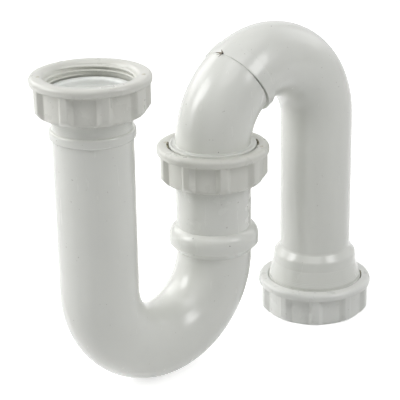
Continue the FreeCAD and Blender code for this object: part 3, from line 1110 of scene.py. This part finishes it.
def speck_mesh(name: str, spots: list[tuple[Vector, Vector, float]]) -> bpy.types.Mesh:
    """Makes small uneven domes on a surface.

    Args:
        name: The mesh's name.
        spots: Place, normal and radius of each dome, in metres.

    Returns:
        One mesh with all the domes.
    """
    points: list[Vector] = []
    faces: Faces = []
    sides = DOME_SIDES
    for number, (place, normal, radius) in enumerate(spots):
        across = normal.orthogonal().normalized()
        along = normal.cross(across) * DOME_SQUASH
        first = len(points)
        for reach, lift in DOME_RINGS:
            for side in range(sides):
                angle = FULL_TURN * side / sides
                wobble = 0.25 * math.sin(2.0 * angle + number * 1.7) + 0.12 * math.sin(3.0 * angle + number)
                out = (across * math.cos(angle) + along * math.sin(angle)) * reach * (1.0 + wobble)
                points.append(place + (out + normal * lift) * radius)
        points.append(place + normal * radius * DOME_TOP)
        for side in range(sides):
            after = (side + 1) % sides
            faces.append((first + side, first + after, first + sides + after, first + sides + side))
            faces.append((first + sides + side, first + sides + after, first + 2 * sides))
    return mesh_from(name, points, faces, 60.0)


def stroke_mesh(name: str, lines: list[list[tuple[Vector, Vector]]], widths: list[float]) -> bpy.types.Mesh:
    """Makes thin tapered strokes that lie on a surface.

    Args:
        name: The mesh's name.
        lines: Points and normals along each stroke.
        widths: Each stroke's width at its thick end, in metres.

    Returns:
        One mesh with all the strokes.
    """
    points: list[Vector] = []
    faces: Faces = []
    lift = 0.05 * MM
    for line, width in zip(lines, widths):
        last = len(line) - 1
        first = len(points)
        for number, (place, normal) in enumerate(line):
            ahead = line[min(number + 1, last)][0] - line[max(number - 1, 0)][0]
            side = normal.cross(ahead).normalized()
            half = width / 2 * (1.0 - 0.85 * number / last)
            points += [place - side * half, place + normal * lift, place + side * half]
        for number in range(last):
            here, after = first + 3 * number, first + 3 * number + 3
            faces.append((here, here + 1, after + 1, after))
            faces.append((here + 1, here + 2, after + 2, after + 1))
    return mesh_from(name, points, faces, 60.0)


@dataclass
class Coupling:
    """Nut with its sealing rings, threads, lips, painted shade in the gap under its rim, and rim marks.
    Sizes in mm.
    """

    body: str
    nut: GripNut
    nut_finish: MouldedPlastic
    rings: dict[str, MouldedPlastic | SealRubber]
    threads: tuple[ThreadRidge, ...]
    lips: tuple[RoundBand, ...] = ()
    # Dark bands of painted shade in the gap under the rim.
    gap_shade: tuple[RoundBand, ...] = ()
    mark_pixels: tuple[Pixel, ...] = ()
    mark_radius: float = 1.05
    mark_band: Pair = (27.0, 28.8)

    def build(self, dresser: Dresser) -> None:
        """Makes the nut and what is on it, and dresses the sealing rings.

        Args:
            dresser: Holds the frame, the finishes and the camera.
        """
        nut_plastic, tube_plastic = dresser.material(self.nut_finish), dresser.material(TUBE)
        moulding = add_piece(f"{self.nut.node}_moulding", self.nut.build(), self.body, nut_plastic)
        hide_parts(self.nut.node)
        for node, finish in self.rings.items():
            dresser.dress(node, finish)
        for ridge in self.threads:
            if ridge.side is ThreadSide.INSIDE_NUT:
                add_piece(ridge.name, ridge.build(), self.body, nut_plastic)
            else:
                add_piece(ridge.name, ridge.build(), ARM_BODY, tube_plastic)
        for lip in self.lips:
            add_piece(lip.name, lip.build(), ARM_BODY, tube_plastic)
        # Painted shade: dark bands in the gap under the rim.
        for line in self.gap_shade:
            add_piece(line.name, line.build(), self.body, dresser.material(GAP_PAINTED_SHADE))
        if self.mark_pixels:
            places = [self.mark_place(pixel, dresser.camera) for pixel in self.mark_pixels]
            name = f"{self.nut.node}_gate_marks"
            mesh = gate_mesh(name, places, self.mark_radius * MM)
            add_piece(name, mesh, self.body, dresser.material(MARK))

    def mark_place(self, pixel: Pixel, camera: PhotoCamera) -> Vector:
        """Finds the place on the rim's flat top under a pixel, kept to the rim's band.

        Args:
            pixel: Column and row in the photograph.
            camera: The photograph's camera.

        Returns:
            The place, in metres.
        """
        eye, ray = camera.eye(), camera.ray(pixel)
        centre = Vector((self.nut.axis_x, 0.0, self.nut.top)) * MM
        out = eye + ray * (centre.z - eye.z) / ray.z - centre
        low, high = self.mark_band
        return centre + out.normalized() * min(max(out.length, low * MM), high * MM)


STUB_SIDES = 24
STUB_RINGS = ((1.15, -0.20), (1.05, 0.02), (0.92, 0.20), (0.74, 0.22), (0.55, 0.06), (0.30, 0.03))
STUB_BROKEN_LIFT = 0.1


def gate_mesh(name: str, places: list[Vector], radius: float) -> bpy.types.Mesh:
    """Makes the broken-off gate stubs on a rim's top.

    Args:
        name: The mesh's name.
        places: Middle of each stub.
        radius: A stub's radius in metres.

    Returns:
        One mesh with all the stubs.
    """
    sides = STUB_SIDES
    points: list[Vector] = []
    faces: Faces = []
    for number, place in enumerate(places):
        first = len(points)
        for reach, lift in STUB_RINGS:
            for side in range(sides):
                angle = FULL_TURN * side / sides
                broken = 1.0 + 0.35 * math.sin(angle + number * 2.1) + 0.15 * math.sin(3 * angle + number)
                rise = lift * broken if lift > STUB_BROKEN_LIFT else lift
                out = Vector((math.cos(angle) * reach, math.sin(angle) * reach, rise))
                points.append(place + out * radius)
        for ring in range(len(STUB_RINGS) - 1):
            here, above = first + ring * sides, first + (ring + 1) * sides
            for side in range(sides):
                after = (side + 1) % sides
                faces.append((here + side, here + after, above + after, above + side))
        top = first + (len(STUB_RINGS) - 1) * sides
        faces.append(tuple(range(top, top + sides)))
    return mesh_from(name, points, faces, 50.0)


@dataclass(frozen=True)
class Speck:
    """Small dark spot on a tube, seen at a pixel of the photograph. Radius in mm."""

    pixel: Pixel
    radius: float


@dataclass
class TubeRun:
    """Tubes of one body with the specks that lie on them."""

    body: str
    tubes: dict[str, MouldedPlastic]
    specks: dict[str, tuple[Speck, ...]]
    mouldings: dict[str, TrapTube] = field(default_factory=dict)

    def build(self, dresser: Dresser) -> None:
        """Dresses the tubes and sets the specks on them.

        Args:
            dresser: Holds the frame, the finishes and the camera.
        """
        shown = dict(dresser.nodes)
        for node, finish in self.tubes.items():
            if node in self.mouldings:
                name, mesh = f"{node}_moulding", self.mouldings[node].build()
                shown[node] = add_piece(name, mesh, self.body, dresser.material(finish))
                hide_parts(node)
            else:
                dresser.dress(node, finish)
        for node, specks in self.specks.items():
            skin = Skin(dresser.camera, shown[node])
            spots = [(*skin.under(speck.pixel), speck.radius * MM) for speck in specks]
            mesh = speck_mesh(f"{node}_specks", spots)
            add_piece(f"{node}_specks", mesh, self.body, dresser.material(SPECK))


@dataclass
class GluedJoint:
    """Dark band in the groove of the upper bend's glued joint, filled flush and pale higher up, and the
    splash beside it. In mm.
    """

    body: str = ARM_BODY
    bend_x: float = (RISER_X + OUTLET_X) / 2
    bend_level: float = -52.5
    bend_radius: float = (OUTLET_X - RISER_X) / 2
    groove_angles: Pair = (55.35, 56.05)
    groove_radius: float = 21.05
    groove_depth: float = 0.5
    flush_rise: float = 0.5
    flush_levels: Pair = (-14.0, -8.0)
    sides: int = 96
    splash_start: Pixel = (222.6, 53.3)
    splash_ends: tuple[Pixel, ...] = ((215.6, 52.3), (216.4, 54.8), (217.7, 57.2), (221.3, 49.4))
    splash_widths: tuple[float, ...] = (1.3, 1.2, 1.1, 1.3)
    splash_steps: int = 6
    core_radius: float = 0.9

    def build(self, dresser: Dresser) -> None:
        """Makes the groove's dark band and the splash.

        Args:
            dresser: Holds the frame, the finishes and the camera.
        """
        fill = add_piece("joint_groove_band", self.groove(), self.body, dresser.material(JOINT_GROOVE_BAND))
        skin = Skin(dresser.camera, dresser.nodes["elbow"], dresser.nodes["outlet_bend"], fill)
        lines = [self.stroke(skin, end) for end in self.splash_ends]
        mesh = stroke_mesh("joint_splash", lines, [width * MM for width in self.splash_widths])
        add_piece("joint_splash", mesh, self.body, dresser.material(SPLASH))
        core = speck_mesh("joint_splash_core", [(*skin.under(self.splash_start), self.core_radius * MM)])
        add_piece("joint_splash_core", core, self.body, dresser.material(SPLASH_CORE))

    def stroke(self, skin: Skin, end: Pixel) -> list[tuple[Vector, Vector]]:
        """Lays one stroke of the splash over the joint.

        Args:
            skin: The surface round the joint.
            end: Pixel where the stroke runs out.

        Returns:
            Points and normals along the stroke.
        """
        line = []
        for step in range(self.splash_steps + 1):
            share = step / self.splash_steps
            pixel = tuple(near + (far - near) * share for near, far in zip(self.splash_start, end))
            line.append(skin.under(pixel))
        return line

    def flush_share(self, round_tube: float) -> float:
        """Tells how full of old adhesive the groove is at a place round the tube.

        Args:
            round_tube: Angle round the tube, from its outer side.

        Returns:
            0 where the groove is open, 1 where it is filled flush.
        """
        out = self.bend_radius + self.groove_radius * math.cos(round_tube)
        level = self.bend_level + out * math.sin(math.radians(self.groove_angles[0]))
        low, high = self.flush_levels
        return clamped((level - low) / (high - low))

    def groove(self) -> bpy.types.Mesh:
        """Makes the dark band in the groove, which fills it flush higher up.

        Returns:
            The band's mesh.
        """
        points: list[Vector] = []
        low, high = self.groove_angles
        corners = ((low, 0.0), (high, 0.0), (high, self.groove_depth), (low, self.groove_depth))
        for side in range(self.sides):
            round_tube = FULL_TURN * side / self.sides
            filled = self.groove_radius + self.flush_rise * self.flush_share(round_tube)
            for angle, drop in corners:
                radius = filled - drop
                out = self.bend_radius + radius * math.cos(round_tube)
                turn = math.radians(angle)
                points.append(Vector((
                    (self.bend_x - out * math.cos(turn)) * MM,
                    radius * math.sin(round_tube) * MM,
                    (self.bend_level + out * math.sin(turn)) * MM,
                )))
        return mesh_from("joint_groove_band", points, joined_rows(self.sides, len(corners)))


class Dresser:
    """Holds the frame, the camera and the finishes that pieces share."""

    def __init__(self, nodes: dict[str, bpy.types.Object], camera: PhotoCamera) -> None:
        """Keeps the CAD nodes and the camera."""
        self.nodes = nodes
        self.camera = camera
        self.made: dict[str, bpy.types.Material] = {}

    def material(self, finish: MouldedPlastic | SealRubber | DirtAndShade) -> bpy.types.Material:
        """Gives a finish's material, made once."""
        if finish.name not in self.made:
            self.made[finish.name] = finish.build()
        return self.made[finish.name]

    def dress(self, node: str, finish: MouldedPlastic | SealRubber) -> None:
        """Gives a CAD node its finish.

        Args:
            node: The node's name.
            finish: Its finish.
        """
        piece = self.nodes[node]
        piece.data.materials.clear()
        piece.data.materials.append(self.material(finish))
        log.info("node %s wears %s", node, finish.name)


WIDE_LIP = (
    (23.2, -51.0),
    (24.7, -51.0),
    (24.9, -50.8),
    (24.9, -50.2),
    (24.75, -49.85),
    (24.4, -49.7),
    (23.2, -49.7),
)
# UNION_GAP and OUTLET_GAP: sections of the dark bands painted into the gaps under the nut rims as shade.
UNION_GAP = ((25.1, -51.15), (25.75, -50.46), (26.25, -50.46), (26.25, -50.6), (25.4, -51.25))
CUP_LIP = ((27.4, -157.3), (28.15, -157.25), (28.7, -156.7), (28.6, -156.5), (27.4, -156.5))
OUTLET_GAP = ((28.75, -157.2), (29.05, -156.46), (29.45, -156.46), (29.45, -156.6), (28.9, -157.3))
INLET = Coupling(
    body="inlet_nut",
    nut=GripNut(
        node="inlet_nut",
        axis_x=0.0,
        base=-12.6,
        top=8.0,
        bore=24.05,
        hole=21.8,
        wall=4.25,
        floor=-7.5,
        relief_top=0.0,
        entry_flare=1.75,
        lugs=9,
        turn=5.0,
    ),
    nut_finish=NUT_PAINTED_SHADE,
    rings={"inlet_washer": WASHER},
    threads=(
        ThreadRidge(
            name="inlet_nut_thread",
            side=ThreadSide.INSIDE_NUT,
            axis_x=0.0,
            root=24.05,
            crest=22.85,
            low=0.75,
            high=5.75,
            pitch=PIPE_THREAD_PITCH,
            root_width=1.75,
            crest_width=0.75,
            start_angle=48.0,
        ),
    ),
    mark_pixels=((38.0, 77.0), (143.6, 74.4)),
)
UNION = Coupling(
    body="union_nut",
    nut=replace(
        INLET.nut,
        node="union_nut",
        axis_x=RISER_X,
        base=-71.1,
        top=-50.5,
        floor=-66.0,
        relief_top=-58.5,
        turn=38.5,
    ),
    nut_finish=NUT_PAINTED_SHADE,
    rings={"union_washer": WASHER},
    threads=(
        ThreadRidge(
            name="union_nut_thread",
            side=ThreadSide.INSIDE_NUT,
            axis_x=RISER_X,
            root=24.05,
            crest=23.45,
            low=-57.6,
            high=-53.2,
            pitch=PIPE_THREAD_PITCH,
            root_width=1.5,
            crest_width=0.7,
            start_angle=100.0,
        ),
        ThreadRidge(
            name="elbow_collar_thread",
            side=ThreadSide.ON_COLLAR,
            axis_x=RISER_X,
            root=22.4,
            crest=23.35,
            low=-58.9,
            high=-53.0,
            pitch=PIPE_THREAD_PITCH,
            root_width=1.7,
            crest_width=0.7,
            start_angle=10.0,
        ),
    ),
    lips=(RoundBand("elbow_wide_lip", RISER_X, WIDE_LIP),),
    gap_shade=(
        # Painted shade in the gap under the rim, at its two ends.
        RoundBand("union_gap_painted_shade_left", RISER_X, UNION_GAP, (128.0, 156.0)),
        RoundBand("union_gap_painted_shade_right", RISER_X, UNION_GAP, (311.0, 334.0)),
    ),
    mark_pixels=((166.5, 142.5), (261.7, 146.5)),
)
OUTLET = Coupling(
    body="outlet_nut",
    nut=GripNut(
        node="outlet_nut",
        axis_x=OUTLET_X,
        base=-178.0,
        top=-156.5,
        bore=28.3,
        hole=22.3,
        wall=2.7,
        floor=-173.5,
        relief_top=-166.5,
        entry_flare=0.8,
        lugs=10,
        turn=9.2,
    ),
    nut_finish=OUTLET_NUT_PAINTED_LIGHT,
    rings={"outlet_seal": RUBBER, "outlet_slip_ring": SLIP},
    threads=(
        ThreadRidge(
            name="outlet_cup_thread",
            side=ThreadSide.ON_COLLAR,
            axis_x=OUTLET_X,
            root=26.6,
            crest=27.85,
            low=-164.4,
            high=-157.8,
            pitch=CUP_THREAD_PITCH,
            root_width=1.6,
            crest_width=0.8,
            start_angle=0.0,
        ),
        ThreadRidge(
            name="outlet_nut_thread",
            side=ThreadSide.INSIDE_NUT,
            axis_x=OUTLET_X,
            root=28.3,
            crest=27.1,
            low=-165.3,
            high=-159.0,
            pitch=CUP_THREAD_PITCH,
            root_width=1.6,
            crest_width=0.8,
            start_angle=72.0,
        ),
    ),
    lips=(RoundBand("outlet_cup_lip", OUTLET_X, CUP_LIP),),
    # Painted shade in the gap under the rim, at its right end.
    gap_shade=(RoundBand("outlet_gap_painted_shade", OUTLET_X, OUTLET_GAP, (299.0, 324.0)),),
)
LOWER_TRAP = TubeRun(
    body="trap_body",
    tubes={"u_bend": INLET_TUBE, "riser": RISER_TUBE},
    specks={
        "riser": (
            Speck(pixel=(247.6, 206.6), radius=0.45),
            Speck(pixel=(193.0, 238.6), radius=0.35),
            Speck(pixel=(191.0, 233.0), radius=0.22),
            Speck(pixel=(229.9, 246.3), radius=0.40),
        ),
        "u_bend": (Speck(pixel=(188.7, 254.9), radius=0.28), Speck(pixel=(194.0, 254.9), radius=0.25)),
    },
    mouldings={"u_bend": TrapTube()},
)
UPPER_BEND = TubeRun(
    body=ARM_BODY,
    tubes={"elbow": TUBE, "outlet_bend": OUTLET_TUBE},
    specks={
        "elbow": (
            Speck(pixel=(218.4, 152.5), radius=0.35),
            Speck(pixel=(213.0, 140.0), radius=0.25),
            Speck(pixel=(209.3, 140.0), radius=0.22),
        ),
        "outlet_bend": (Speck(pixel=(271.4, 26.1), radius=0.45), Speck(pixel=(323.0, 177.0), radius=0.22)),
    },
)


def main() -> None:
    """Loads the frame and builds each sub-assembly in order."""
    logging.basicConfig(level=logging.INFO, format="%(name)s: %(message)s")
    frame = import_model()
    cad_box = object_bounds()
    camera = PhotoCamera()
    dresser = Dresser(frame["nodes"], camera)
    for assembly in (INLET, LOWER_TRAP, UNION, UPPER_BEND, GluedJoint(), OUTLET):
        assembly.build(dresser)
    Studio(floor_level=cad_box[0].z).build(camera)


if __name__ == "__main__":
    main()
